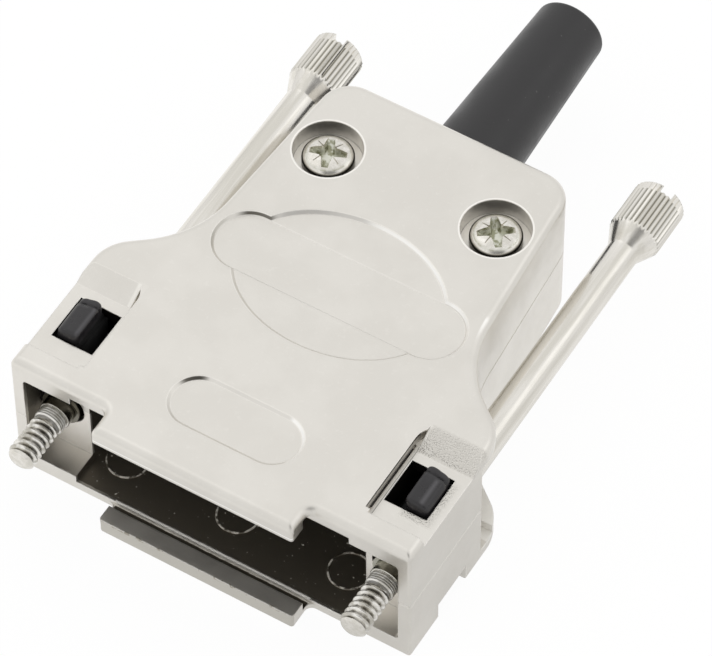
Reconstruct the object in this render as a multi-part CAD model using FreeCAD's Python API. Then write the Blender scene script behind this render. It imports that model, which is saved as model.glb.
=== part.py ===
import FreeCAD, Part
import math
import os

from FreeCAD import Vector

# A two-part die-cast hood for a 15-way D-sub connector, in millimetres.
# x runs across the connector, y from the connector towards the cable, z up.
# The origin is midway between the jackscrews, where their line meets the seat of the
# connector flange, on the parting plane of the two halves.

# Hood outline, seen from above
hood_width = 39.8
hood_height = 15.0
hood_length = 41.35
shoulder_start = 12.9
shoulder_radius = 4.2
shoulder_turn = 52.0
shoulder_flat = 1.5
waist_radius = 10.1
side_taper = 4.0
rear_corner_radius = 3.0
upper_edge_round = 0.8
lower_edge_round = 0.3
front_corner_round = 0.3
room_corner_round = 0.4
parting_bevel = 0.12

# Walls
side_wall = 1.2
upper_plate = 1.5
lower_plate = 1.15
body_wall = 1.5
front_partition_y = 2.75
partition = 0.8
rear_partition = 1.4
side_wall_length = 11.8

# Bay for the connector and its flange
connector_width = 27.5
connector_clearance = 0.15
bay_depth = 12.4
flange_height = 12.5
flange_clearance = 0.5
flange_groove = 1.0
upper_tongue_width = 20.04
lower_tongue_width = 19.64
tongue_length = 2.65
tongue_corner = 0.3
tongue_root = 0.7
lip_bite = 0.55

# Jackscrews
screw_to_side = 3.25
shank_diameter = 3.0
thread_diameter = 2.74
shank_front = 1.2
thread_to_seat = 0.12
thread_core_diameter = 2.3
thread_end = -4.25
tip_chamfer = 0.3
neck_diameter = 2.2
neck_clearance = 0.08
knob_diameter = 4.97
knob_reach = 7.45
knurl_length = 4.8
knurl_depth = 0.19
knurl_teeth = 32
cone_length = 2.1
knob_chamfer = 0.25
slot_width = 1.2
slot_depth = 0.8
travel_forward = 1.4
travel_back = 1.9
travel_reserve = 0.1
running_clearance = 0.08

# Split ring on the shank, which runs inside the hole of the front partition
ring_width = 0.6
ring_height = 0.55
ring_y = 2.3
ring_gap = 0.9
ring_clearance = 0.05
ring_groove_depth = 0.25
ring_hole_clearance = 0.3

# Clip, pad and window
window_width = 4.15
window_length = 4.7
window_front = 4.6
upper_pocket_height = 5.2
pad_depth = 1.05
pad_front = 2.2
pad_rise_end = 12.5
pad_wall = 0.6
channel_width = 0.45
channel_front = 2.6
channel_bend = 10.8
channel_end = 12.1
crease_width = 0.14
crease_depth = 0.25
clip_clearance = 0.12
clip_width = 2.25
clip_front_height = 0.6
clip_rear_height = 0.75
clip_tab_height = 0.9
clip_tab_length = 0.7
clip_round = 0.75
clip_bevel = 0.5
clip_lower_gap = 0.6
clip_ledge = 0.4
clip_ledge_depth = 0.85
fork_thickness = 1.6
lower_pocket_depth = 4.0
lower_pad_front = 4.7
lower_pad_length = 4.7
lower_pad_depth = 2.05
lower_pad_wall = 1.0
front_floor_depth = 5.6

# Ear of the lower half, under the jackscrew
ear_floor = 1.2
ear_step_y = 14.1
ear_step = 0.8
shoulder_plate = 1.6

# Case screws
case_screw_x = 8.545
case_screw_to_rear = 7.87
case_head_diameter = 4.75
case_head_height = 1.6
case_head_sink = 0.3
case_shank_diameter = 2.6
case_screw_length = 8.5
counterbore_clearance = 0.8
counterbore_wall = 1.0
case_seat_plate = 1.6
shank_clearance = 0.2
thread_fit = 0.02
boss_wall = 1.6
boss_bottom = 0.8
recess_length = 2.9
recess_width = 0.75
recess_depth = 1.1
head_round = 0.45
shank_chamfer = 0.15

# Cable boot
boot_length = 20.65
boot_base_diameter = 8.3
boot_tip_diameter = 6.7
boot_tip_round = 0.5
cable_diameter = 5.0
boot_neck_diameter = 6.8
boot_flange_diameter = 9.2
boot_flange = 1.3
boot_fit = 0.05

# Cable clamp
clamp_to_case_screw = 7.48
clamp_width = 5.0
clamp_sheet = 1.0
clamp_screw_x = 6.2
clamp_end = 2.4
clamp_seat = 0.6
clamp_cable_clearance = 0.2
clamp_head_diameter = 4.2
clamp_head_height = 1.3
clamp_shank_diameter = 2.4
clamp_screw_length = 5.0
clamp_post_diameter = 4.8
cradle_thickness = 2.0

# Relief on the upper face
relief_y = 21.27
label_half_width = 9.99
label_half_height = 7.37
label_depth = 0.3
bar_half_length = 12.46
bar_radius = 3.3
bar_depth = 0.37
tag_y = 4.52
tag_half_length = 6.43
tag_radius = 2.75
tag_depth = 0.25
relief_draft = 0.3

# Ejector marks on the connector floor
mark_diameter = 3.9
mark_line = 0.14
mark_height = 0.06
mark_y = 4.3
mark_spacing = 11.3

# How far a cutting shape reaches past what it cuts, and how far joined shapes reach into each other
overcut = 1.0
overlap = 0.5
tolerance = 1e-6

# Values worked out from the ones above
half_height = hood_height / 2
half_width = hood_width / 2
inner_half_width = half_width - side_wall
upper_inner_height = half_height - upper_plate
lower_inner_height = half_height - lower_plate
screw_x = half_width - screw_to_side
knob_end = hood_length + knob_reach
case_screw_y = hood_length - case_screw_to_rear
clamp_y = case_screw_y - clamp_to_case_screw
boot_end = hood_length + boot_length
bay_half_width = connector_width / 2 + connector_clearance
shank_radius = shank_diameter / 2
neck_radius = neck_diameter / 2
neck_slot_radius = neck_radius + neck_clearance
rear_hole_radius = shank_radius + running_clearance
ring_inner_radius = shank_radius - ring_groove_depth + ring_clearance
ring_outer_radius = ring_inner_radius + ring_height
ring_hole_radius = ring_outer_radius + ring_hole_clearance
window_outer = inner_half_width
window_inner = window_outer - window_width
window_rear = window_front + window_length
pad_inner = window_inner - pad_wall
ramp_inner = pad_inner + channel_width
lower_pad_inner = bay_half_width + lower_pad_wall
pad_z = half_height - pad_depth
fork_middle = window_front + window_length / 2
fork_front = fork_middle - fork_thickness / 2
fork_rear = fork_middle + fork_thickness / 2
neck_front = fork_front - travel_back - travel_reserve
neck_rear = fork_rear + travel_forward + travel_reserve
partition_rear = front_partition_y + partition
pocket_end = side_wall_length - rear_partition
upper_open_height = half_height - shoulder_plate
ear_top_height = half_height - ear_floor
ear_open_height = ear_top_height - ear_step
counterbore_radius = case_head_diameter / 2 + counterbore_clearance
case_seat_z = half_height - case_head_sink - case_head_height
case_boss_radius = case_shank_diameter / 2 + boss_wall
flange_z = flange_height / 2 + flange_clearance
lip_z = flange_height / 2 - lip_bite
cable_radius = cable_diameter / 2
chamber_end = hood_length - body_wall
clamp_seat_z = -clamp_seat
clamp_end_x = clamp_screw_x + clamp_end
cable_exit_radius = boot_neck_diameter / 2 + boot_fit
saddle_radius = cable_radius + clamp_cable_clearance


def box(x0, x1, y0, y1, z0, z1):
    return Part.makeBox(x1 - x0, y1 - y0, z1 - z0, Vector(x0, y0, z0))


def rod_y(x, z, radius, y0, y1):
    return Part.makeCylinder(radius, y1 - y0, Vector(x, y0, z), Vector(0, 1, 0))


def rod_z(x, y, radius, z0, z1):
    return Part.makeCylinder(radius, z1 - z0, Vector(x, y, z0), Vector(0, 0, 1))


def join(shapes):
    return shapes[0].fuse(shapes[1:]).removeSplitter()


def mirrored(shape):
    return shape.mirror(Vector(0, 0, 0), Vector(1, 0, 0))


def both_sides(shapes):
    return list(shapes) + [mirrored(shape) for shape in shapes]


def direction(heading):
    return Vector(math.cos(math.radians(heading)), math.sin(math.radians(heading)), 0)


def straight(start, heading, length):
    end = start + direction(heading) * length
    return Part.makeLine(start, end), end


def bend(start, heading, radius, turn):
    # turn is positive to the left, in degrees
    side = 90.0 if turn > 0 else -90.0
    centre = start + direction(heading + side) * radius
    middle = centre + direction(heading - side + turn / 2) * radius
    end = centre + direction(heading - side + turn) * radius
    return Part.Arc(start, middle, end).toShape(), end


def half_outline():
    # right-hand side of the hood from the flange seat to the middle of the rear wall
    waist_turn = shoulder_turn - side_taper
    corner_turn = 90.0 - side_taper
    corner_rise = rear_corner_radius * (1 - math.sin(math.radians(side_taper)))
    side, point = straight(Vector(half_width, 0, 0), 90.0, shoulder_start)
    shoulder, point = bend(point, 90.0, shoulder_radius, shoulder_turn)
    flat, point = straight(point, 90.0 + shoulder_turn, shoulder_flat)
    waist, point = bend(point, 90.0 + shoulder_turn, waist_radius, -waist_turn)
    rise = hood_length - corner_rise - point.y
    flank, point = straight(point, 90.0 + side_taper, rise / math.cos(math.radians(side_taper)))
    corner, point = bend(point, 90.0 + side_taper, rear_corner_radius, corner_turn)
    rear = Part.makeLine(point, Vector(0, hood_length, 0))
    return [side, shoulder, flat, waist, flank, corner, rear]


def tongue_outline(tongue_width):
    # right-hand half of the front edge, from the middle of the tongue to the side wall
    half = tongue_width / 2
    front = Part.makeLine(Vector(0, -tongue_length, 0), Vector(half - tongue_corner, -tongue_length, 0))
    corner, point = bend(Vector(half - tongue_corner, -tongue_length, 0), 0.0, tongue_corner, 90.0)
    edge = Part.makeLine(point, Vector(half, -tongue_root, 0))
    root, point = bend(Vector(half, -tongue_root, 0), 90.0, tongue_root, -90.0)
    seat = Part.makeLine(point, Vector(half_width, 0, 0))
    return [front, corner, edge, root, seat]


def hood_face(tongue_width):
    right = tongue_outline(tongue_width) + half_outline()
    edges = both_sides(right)
    return Part.Face(Part.Wire(Part.__sortEdges__(edges)))


def at_height(shape, z):
    return [edge for edge in shape.Edges if all(abs(v.Z - z) < tolerance for v in edge.Vertexes)]


def front_corners(shape):
    def stands_at_corner(edge):
        ends = edge.Vertexes
        return all(abs(abs(v.X) - half_width) < tolerance and abs(v.Y) < tolerance for v in ends)
    return [edge for edge in shape.Edges if stands_at_corner(edge)]


def rounded_half(tongue_width, edge_round):
    # upper half without its hollow; the outer edges are rounded, the parting edge is bevelled
    block = hood_face(tongue_width).extrude(Vector(0, 0, half_height))
    block = block.makeFillet(front_corner_round, front_corners(block))
    block = block.makeFillet(edge_round, at_height(block, half_height))
    return block.makeChamfer(parting_bevel, at_height(block, 0.0))


def chamber(height):
    # room for the wires, inside the rear part of the body
    inset = hood_face(upper_tongue_width).makeOffset2D(-body_wall)
    inner_wall_x = window_inner - body_wall
    room = inset.extrude(Vector(0, 0, height))
    return room.common(box(-inner_wall_x, inner_wall_x, bay_depth - overcut, chamber_end, 0, height))


def bay_room(height):
    return box(-bay_half_width, bay_half_width, -overcut, bay_depth, -overcut, height)


def flange_slot():
    # in front of the seat: the groove that the connector flange sits in, and the lip before it
    reach = half_width + overcut
    groove = box(-reach, reach, -flange_groove, 0, -overcut, flange_z)
    mouth = box(-reach, reach, -tongue_length - overcut, -flange_groove, -overcut, lip_z)
    return [groove, mouth]


def outer_room_edges(room, height):
    # the edge between the room's end and its outer wall
    def is_outer(edge):
        return all(abs(v.X - inner_half_width) < tolerance and abs(v.Z - height) < tolerance for v in edge.Vertexes)
    return [edge for edge in room.Edges if is_outer(edge)]


def screw_rooms(front_height, pocket_height, open_height):
    # the right-hand side: front room, clip pocket, holes and the open shoulder
    reach = half_width + overcut
    front = box(bay_half_width, inner_half_width, -overcut, front_partition_y, -overcut, front_height)
    front = front.makeFillet(room_corner_round, outer_room_edges(front, front_height))
    pocket = box(window_inner, window_outer, partition_rear, pocket_end, -overcut, pocket_height)
    hole_front = front_partition_y - overlap
    front_hole = rod_y(screw_x, 0, ring_hole_radius, hole_front, partition_rear + overlap)
    rear_hole = rod_y(screw_x, 0, rear_hole_radius, pocket_end - overlap, side_wall_length + overlap)
    shoulder = box(window_inner, reach, side_wall_length, hood_length, -overcut, open_height)
    return [front, pocket, front_hole, rear_hole, shoulder]


def slot_wire(half_length, radius, y, z):
    straight_half = half_length - radius
    right = Vector(straight_half, y, z)
    left = Vector(-straight_half, y, z)
    up = Vector(0, radius, 0)
    out = Vector(radius, 0, 0)
    top = Part.makeLine(left + up, right + up)
    bottom = Part.makeLine(right - up, left - up)
    right_end = Part.Arc(right + up, right + out, right - up).toShape()
    left_end = Part.Arc(left - up, left - out, left + up).toShape()
    return Part.Wire([top, right_end, bottom, left_end])


def slot_recess(half_length, radius, y, depth):
    floor = half_height - depth
    narrow = slot_wire(half_length - relief_draft, radius - relief_draft, y, floor)
    wide = slot_wire(half_length, radius, y, half_height)
    above = slot_wire(half_length, radius, y, half_height + overcut)
    return join([Part.makeLoft([narrow, wide], True, True), Part.makeLoft([wide, above], True, True)])


def ellipse_wire(shrink, z):
    curve = Part.Ellipse(Vector(0, relief_y, z), label_half_width - shrink, label_half_height - shrink)
    return Part.Wire([curve.toShape()])


def label_recess():
    narrow = ellipse_wire(relief_draft, half_height - label_depth)
    wide = ellipse_wire(0, half_height)
    above = ellipse_wire(0, half_height + overcut)
    return join([Part.makeLoft([narrow, wide], True, True), Part.makeLoft([wide, above], True, True)])


def pad_channel(top):
    # level channel between the body and the rising end of the pad; its rear end bends outwards
    bend_depth = channel_end - channel_bend
    bend_radius = (bend_depth ** 2 + channel_width ** 2) / (2 * channel_width)
    turn = math.degrees(math.asin(bend_depth / bend_radius))
    side = Part.makeLine(Vector(pad_inner, channel_front, pad_z), Vector(pad_inner, channel_bend, pad_z))
    rear, point = bend(Vector(pad_inner, channel_bend, pad_z), 90.0, bend_radius, -turn)
    outer = Part.makeLine(point, Vector(point.x, channel_front, pad_z))
    front = Part.makeLine(Vector(point.x, channel_front, pad_z), Vector(pad_inner, channel_front, pad_z))
    return Part.Face(Part.Wire([side, rear, outer, front])).extrude(Vector(0, 0, top - pad_z))


def pad_recess():
    # lowered pad round the clip window, open to the side, rising to the shoulder behind
    top = half_height + overcut
    profile = [
        (pad_front, top),
        (pad_front, pad_z),
        (pocket_end, pad_z),
        (pad_rise_end, half_height),
        (pad_rise_end, top),
    ]
    points = [Vector(ramp_inner, y, z) for y, z in profile]
    face = Part.Face(Part.makePolygon(points + points[:1]))
    pad = face.extrude(Vector(half_width + overcut - ramp_inner, 0, 0))
    crease = box(pad_inner, pad_inner + crease_width, channel_front, channel_bend,
                 pad_z - crease_depth, top)
    window = box(window_inner, window_outer, window_front, window_rear, 0, top)
    return [pad, pad_channel(top), crease, window]


def upper_shell():
    shell = rounded_half(upper_tongue_width, upper_edge_round)
    outside = shell.copy()
    bay = bay_room(upper_inner_height)
    rooms = screw_rooms(upper_pocket_height, upper_pocket_height, upper_open_height)
    rooms = both_sides(rooms + pad_recess())
    shell = shell.cut([bay, chamber(upper_inner_height)] + flange_slot() + rooms)
    cup_radius = counterbore_radius + counterbore_wall
    cup = rod_z(case_screw_x, case_screw_y, cup_radius, case_seat_z - case_seat_plate, half_height)
    boss = rod_z(case_screw_x, case_screw_y, case_boss_radius, 0, half_height)
    bosses = both_sides([cup.common(outside), boss])
    shell = shell.fuse(bosses)
    above = half_height + overcut
    counterbore = rod_z(case_screw_x, case_screw_y, counterbore_radius, case_seat_z, above)
    hole_radius = case_shank_diameter / 2 + shank_clearance
    screw_hole = rod_z(case_screw_x, case_screw_y, hole_radius, -overcut, case_seat_z + overlap)
    relief = [
        label_recess(),
        slot_recess(bar_half_length, bar_radius, relief_y, bar_depth),
        slot_recess(tag_half_length, tag_radius, tag_y, tag_depth),
    ]
    cable_exit = rod_y(0, 0, cable_exit_radius, chamber_end - overlap, hood_length + overcut)
    shell = shell.cut(both_sides([counterbore, screw_hole]) + relief + [cable_exit])
    return shell.removeSplitter()


def upside_down(shape):
    return shape.mirror(Vector(0, 0, 0), Vector(0, 0, 1))


def lower_bosses():
    # screw bosses, clamp posts and the cradle under the cable
    floor = -lower_inner_height
    case_boss = rod_z(case_screw_x, case_screw_y, case_boss_radius, floor - overlap, 0)
    post = rod_z(clamp_screw_x, clamp_y, clamp_post_diameter / 2, floor - overlap, clamp_seat_z)
    cradle = box(-clamp_screw_x, clamp_screw_x, clamp_y - cradle_thickness / 2,
                 clamp_y + cradle_thickness / 2, floor - overlap, clamp_seat_z)
    return both_sides([case_boss, post]) + [cradle]


def ejector_marks():
    floor = -lower_inner_height
    radius = mark_diameter / 2
    marks = []
    for place in (-1, 0, 1):
        outer = rod_z(place * mark_spacing, mark_y, radius, floor - overlap, floor + mark_height)
        inner = rod_z(place * mark_spacing, mark_y, radius - mark_line, floor - overcut, floor + overcut)
        marks.append(outer.cut(inner))
    return marks


def lower_shell():
    block = upside_down(rounded_half(lower_tongue_width, lower_edge_round))
    bay = bay_room(lower_inner_height)
    rooms = both_sides(screw_rooms(front_floor_depth, lower_pocket_depth, ear_open_height))
    hollow = [bay, chamber(lower_inner_height)] + flange_slot() + rooms
    shell = block.cut([upside_down(shape) for shape in hollow])
    reach = half_width + overcut
    ear_well = box(window_inner, reach, side_wall_length, ear_step_y, -ear_top_height, -ear_open_height)
    under_pad = box(lower_pad_inner, reach, lower_pad_front, lower_pad_front + lower_pad_length,
                    -half_height - overcut, -half_height + lower_pad_depth)
    shell = shell.cut(both_sides([ear_well, under_pad]))
    shell = shell.fuse(lower_bosses() + ejector_marks())
    case_hole_end = case_seat_z - case_screw_length - boss_bottom
    case_hole_radius = case_shank_diameter / 2 + thread_fit
    case_hole = rod_z(case_screw_x, case_screw_y, case_hole_radius, case_hole_end, overcut)
    clamp_hole_end = clamp_seat_z + clamp_sheet - clamp_screw_length - boss_bottom
    clamp_hole_radius = clamp_shank_diameter / 2 + thread_fit
    clamp_hole = rod_z(clamp_screw_x, clamp_y, clamp_hole_radius, clamp_hole_end, overcut)
    cable_way = rod_y(0, 0, saddle_radius, clamp_y - cradle_thickness, clamp_y + cradle_thickness)
    cable_exit = rod_y(0, 0, cable_exit_radius, chamber_end - overlap, hood_length + overcut)
    shell = shell.cut(both_sides([case_hole, clamp_hole]) + [cable_way, cable_exit])
    return shell.removeSplitter()


def cross_recess(x, y, top):
    bars = []
    for length, width in ((recess_length, recess_width), (recess_width, recess_length)):
        bars.append(box(x - length / 2, x + length / 2, y - width / 2, y + width / 2,
                        top - recess_depth, top + overcut))
    return bars


def pan_screw(x, y, seat, head_diameter, head_height, rod_diameter, length):
    # a screw that points down, with its head's underside at seat
    head = rod_z(x, y, head_diameter / 2, seat, seat + head_height)
    top_edge = at_height(head, seat + head_height)
    head = head.makeFillet(head_height * head_round, top_edge)
    shank = rod_z(x, y, rod_diameter / 2, seat - length, seat)
    shank = shank.makeChamfer(rod_diameter * shank_chamfer, at_height(shank, seat - length))
    return join([head, shank]).cut(cross_recess(x, y, seat + head_height))


def case_screw(x):
    return pan_screw(x, case_screw_y, case_seat_z, case_head_diameter, case_head_height,
                     case_shank_diameter, case_screw_length)


def clamp_screw(x):
    return pan_screw(x, clamp_y, clamp_seat_z + clamp_sheet, clamp_head_diameter, clamp_head_height,
                     clamp_shank_diameter, clamp_screw_length)


def turned(profile, x):
    # profile holds (radius, y) pairs from the front end to the rear end of a piece round the y axis
    points = [Vector(x + radius, y, 0) for radius, y in profile]
    face = Part.Face(Part.makePolygon(points + points[:1]))
    return face.revolve(Vector(x, 0, 0), Vector(0, 1, 0), 360)


def knurl_bar(x, y0, y1):
    outer = knob_diameter / 2
    points = []
    for step in range(2 * knurl_teeth):
        radius = outer if step % 2 == 0 else outer - knurl_depth
        angle = math.pi * step / knurl_teeth
        points.append(Vector(x + radius * math.cos(angle), y0, radius * math.sin(angle)))
    face = Part.Face(Part.makePolygon(points + points[:1]))
    return face.extrude(Vector(0, y1 - y0, 0))


def thumbscrew(x):
    # the thread is a plain cylinder of its outside diameter ahead of the flange seat, and of its
    # core diameter behind it, where no nut comes
    thread_radius = thread_diameter / 2
    core_radius = thread_core_diameter / 2
    groove_radius = shank_radius - ring_groove_depth
    groove_front = ring_y - ring_clearance
    groove_rear = ring_y + ring_width + ring_clearance
    cone_start = knob_end - knurl_length - cone_length
    rod = turned([
        (0, thread_end),
        (thread_radius - tip_chamfer, thread_end),
        (thread_radius, thread_end + tip_chamfer),
        (thread_radius, -thread_to_seat),
        (core_radius, -thread_to_seat),
        (core_radius, shank_front),
        (shank_radius, shank_front),
        (shank_radius, groove_front),
        (groove_radius, groove_front),
        (groove_radius, groove_rear),
        (shank_radius, groove_rear),
        (shank_radius, neck_front),
        (neck_radius, neck_front),
        (neck_radius, neck_rear),
        (shank_radius, neck_rear),
        (shank_radius, cone_start + overlap),
        (0, cone_start + overlap),
    ], x)
    knob_radius = knob_diameter / 2
    knob_form = turned([
        (0, cone_start),
        (shank_radius, cone_start),
        (knob_radius, cone_start + cone_length),
        (knob_radius, knob_end - knob_chamfer),
        (knob_radius - knob_chamfer, knob_end),
        (0, knob_end),
    ], x)
    knob = knob_form.common(knurl_bar(x, cone_start - overcut, knob_end + overcut))
    slot = box(x - slot_width / 2, x + slot_width / 2, knob_end - slot_depth, knob_end + overcut,
               -knob_diameter, knob_diameter)
    return join([rod, knob.cut(slot)])


def retaining_ring(x):
    outer = rod_y(x, 0, ring_outer_radius, ring_y, ring_y + ring_width)
    inner = rod_y(x, 0, ring_inner_radius, ring_y - overcut, ring_y + ring_width + overcut)
    gap = box(x - ring_gap / 2, x + ring_gap / 2, ring_y - overcut, ring_y + ring_width + overcut,
              -ring_outer_radius - overcut, 0)
    return outer.cut([inner, gap])


def clip_cap(inner, outer, front, rear, bottom):
    # the finger piece: it slopes up towards the rear and ends in a small tab
    tab_front = rear - clip_tab_length
    profile = [
        (front, bottom),
        (front, pad_z + clip_front_height),
        (tab_front, pad_z + clip_rear_height),
        (tab_front, pad_z + clip_tab_height),
        (rear, pad_z + clip_tab_height),
        (rear, bottom),
    ]
    points = [Vector(inner, y, z) for y, z in profile]
    block = Part.Face(Part.makePolygon(points + points[:1])).extrude(Vector(outer - inner, 0, 0))

    def slopes(edge, x):
        rise = abs(edge.Vertexes[0].Z - edge.Vertexes[1].Z)
        run = abs(edge.Vertexes[0].Y - edge.Vertexes[1].Y)
        return rise > tolerance and run > tolerance and abs(edge.Vertexes[0].X - x) < tolerance
    block = block.makeFillet(clip_round, [edge for edge in block.Edges if slopes(edge, outer)])
    block = block.makeChamfer(clip_bevel, [edge for edge in block.Edges if slopes(edge, inner)])
    return block


def right_clip():
    # a black cap that fills the outer part of the window, on a fork that straddles the neck
    outer = window_outer - clip_clearance
    inner = outer - clip_width
    front = window_front + clip_clearance
    rear = window_rear - clip_clearance
    block_bottom = shank_radius + clip_lower_gap
    cap = clip_cap(inner, outer, front, rear, block_bottom)
    ledge = box(inner - clip_ledge, outer, front, rear, block_bottom, pad_z - clip_ledge_depth)
    fork = box(window_inner + clip_clearance, outer, fork_front, fork_rear, -lower_pocket_depth,
               block_bottom + overlap)
    slot = box(screw_x - neck_slot_radius, screw_x + neck_slot_radius, fork_front - overcut,
               fork_rear + overcut, -lower_pocket_depth - overcut, 0)
    slot_end = rod_y(screw_x, 0, neck_slot_radius, fork_front - overcut, fork_rear + overcut)
    fork = fork.cut([slot, slot_end])
    return join([cap, ledge, fork])


def cable_boot():
    bore = cable_radius
    neck = boot_neck_diameter / 2
    flange = boot_flange_diameter / 2
    base = boot_base_diameter / 2
    tip = boot_tip_diameter / 2
    inside = chamber_end - boot_fit
    outside = hood_length + boot_fit
    boot = turned([
        (bore, inside - boot_flange),
        (flange, inside - boot_flange),
        (flange, inside),
        (neck, inside),
        (neck, outside),
        (base, outside),
        (tip, boot_end),
        (bore, boot_end),
    ], 0)
    rims = [edge for edge in boot.Edges if abs(edge.CenterOfMass.y - boot_end) < tolerance]
    outer_rim = [edge for edge in rims if edge.Length > math.pi * (bore + tip)]
    return boot.makeFillet(boot_tip_round, outer_rim)


def cable_clamp():
    y0 = clamp_y - clamp_width / 2
    y1 = clamp_y + clamp_width / 2
    strip = box(-clamp_end_x, clamp_end_x, y0, y1, clamp_seat_z, clamp_seat_z + clamp_sheet)
    arch = rod_y(0, 0, saddle_radius + clamp_sheet, y0, y1)
    arch = arch.common(box(-clamp_end_x, clamp_end_x, y0, y1, clamp_seat_z, half_height))
    way = rod_y(0, 0, saddle_radius, y0 - overcut, y1 + overcut)
    hole_radius = clamp_shank_diameter / 2 + shank_clearance
    holes = both_sides([rod_z(clamp_screw_x, clamp_y, hole_radius, -half_height, half_height)])
    return join([strip, arch]).cut([way] + holes)


def make_pieces():
    pieces = {
        "upper_shell": upper_shell(),
        "lower_shell": lower_shell(),
        "cable_boot": cable_boot(),
        "cable_clamp": cable_clamp(),
    }
    for side, sign in (("left", -1), ("right", 1)):
        pieces["case_screw_" + side] = case_screw(sign * case_screw_x)
        pieces["clamp_screw_" + side] = clamp_screw(sign * clamp_screw_x)
        pieces["thumbscrew_" + side] = thumbscrew(sign * screw_x)
        pieces["retaining_ring_" + side] = retaining_ring(sign * screw_x)
        pieces["clip_" + side] = right_clip() if sign > 0 else mirrored(right_clip())
    return pieces


os.makedirs("parts", exist_ok=True)
for name, shape in make_pieces().items():
    solids = shape.Solids
    solid = solids[0] if len(solids) == 1 else shape
    print(name, len(solids), "solids", round(shape.Volume, 2), "mm3", "valid", shape.isValid())
    solid.exportStep("parts/" + name + ".step")
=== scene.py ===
import math

import bmesh
import bpy
from mathutils import Matrix, Vector


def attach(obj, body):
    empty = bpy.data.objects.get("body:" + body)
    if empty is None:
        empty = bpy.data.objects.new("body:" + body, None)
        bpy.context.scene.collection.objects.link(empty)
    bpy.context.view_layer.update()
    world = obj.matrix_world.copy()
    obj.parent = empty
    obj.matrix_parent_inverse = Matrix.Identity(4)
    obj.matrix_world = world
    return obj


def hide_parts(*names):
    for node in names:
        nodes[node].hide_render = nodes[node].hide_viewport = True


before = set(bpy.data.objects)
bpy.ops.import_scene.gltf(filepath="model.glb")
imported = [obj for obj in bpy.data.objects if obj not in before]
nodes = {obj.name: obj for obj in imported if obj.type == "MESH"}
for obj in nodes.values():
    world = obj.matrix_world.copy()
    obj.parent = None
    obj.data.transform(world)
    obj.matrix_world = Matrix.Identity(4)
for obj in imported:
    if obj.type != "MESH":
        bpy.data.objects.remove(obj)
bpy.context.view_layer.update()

mm = 0.001  # sizes below are in millimetres
print("frame loaded:", len(nodes), "CAD nodes")


# Small helpers for node trees, used by the materials and by the geometry trees

def feed(tree, value, socket):
    if isinstance(value, bpy.types.NodeSocket):
        tree.links.new(value, socket)
    else:
        socket.default_value = value


def addNode(tree, kind, inputs=None, **settings):
    node = tree.nodes.new(kind)
    node.location.x = 190 * len(tree.nodes)
    for key, value in settings.items():
        setattr(node, key, value)
    for key, value in (inputs or {}).items():
        feed(tree, value, node.inputs[key])
    return node


def calc(tree, operation, *values):
    node = addNode(tree, "ShaderNodeMath", operation=operation)
    for socket, value in zip(node.inputs, values):
        feed(tree, value, socket)
    return node.outputs[0]


def ramp(tree, value, low, high, start=0.0, end=1.0):
    # start below low, end above high, smooth between
    inputs = {"Value": value, "From Min": low, "From Max": high, "To Min": start, "To Max": end}
    return addNode(tree, "ShaderNodeMapRange", inputs, interpolation_type="SMOOTHSTEP").outputs[0]


def between(tree, value, low, high, soft):
    rise = ramp(tree, value, low - soft, low + soft)
    fall = ramp(tree, value, high - soft, high + soft, 1.0, 0.0)
    return calc(tree, "MULTIPLY", rise, fall)


def boxMask(tree, place, spans, soft):
    # 1 inside the box of the (low, high) spans, soft at its faces
    mask = 1.0
    for value, (low, high) in zip(place, spans):
        mask = calc(tree, "MULTIPLY", between(tree, value, low, high, soft), mask)
    return mask


def mixColor(tree, factor, first, second):
    node = addNode(tree, "ShaderNodeMix", data_type="RGBA")
    feed(tree, factor, node.inputs[0])
    feed(tree, first, node.inputs[6])
    feed(tree, second, node.inputs[7])
    return node.outputs[2]


def noise(tree, place, perMm, detail=3.0, roughness=0.55):
    inputs = {"Vector": place, "Scale": perMm / mm, "Detail": detail, "Roughness": roughness}
    return addNode(tree, "ShaderNodeTexNoise", inputs).outputs[0]


def bump(tree, height, depthMm, normal=None, strength=1.0):
    inputs = {"Strength": strength, "Distance": depthMm * mm, "Height": height}
    if normal is not None:
        inputs["Normal"] = normal
    return addNode(tree, "ShaderNodeBump", inputs).outputs[0]


def newMaterial(name, values):
    material = bpy.data.materials.new(name)
    material.use_nodes = True
    tree = material.node_tree
    shader = tree.nodes["Principled BSDF"]
    for key, value in values.items():
        shader.inputs[key].default_value = value
    place = addNode(tree, "ShaderNodeTexCoord").outputs["Object"]
    return material, tree, shader, place


# Satin nickel plating over the zinc castings

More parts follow.
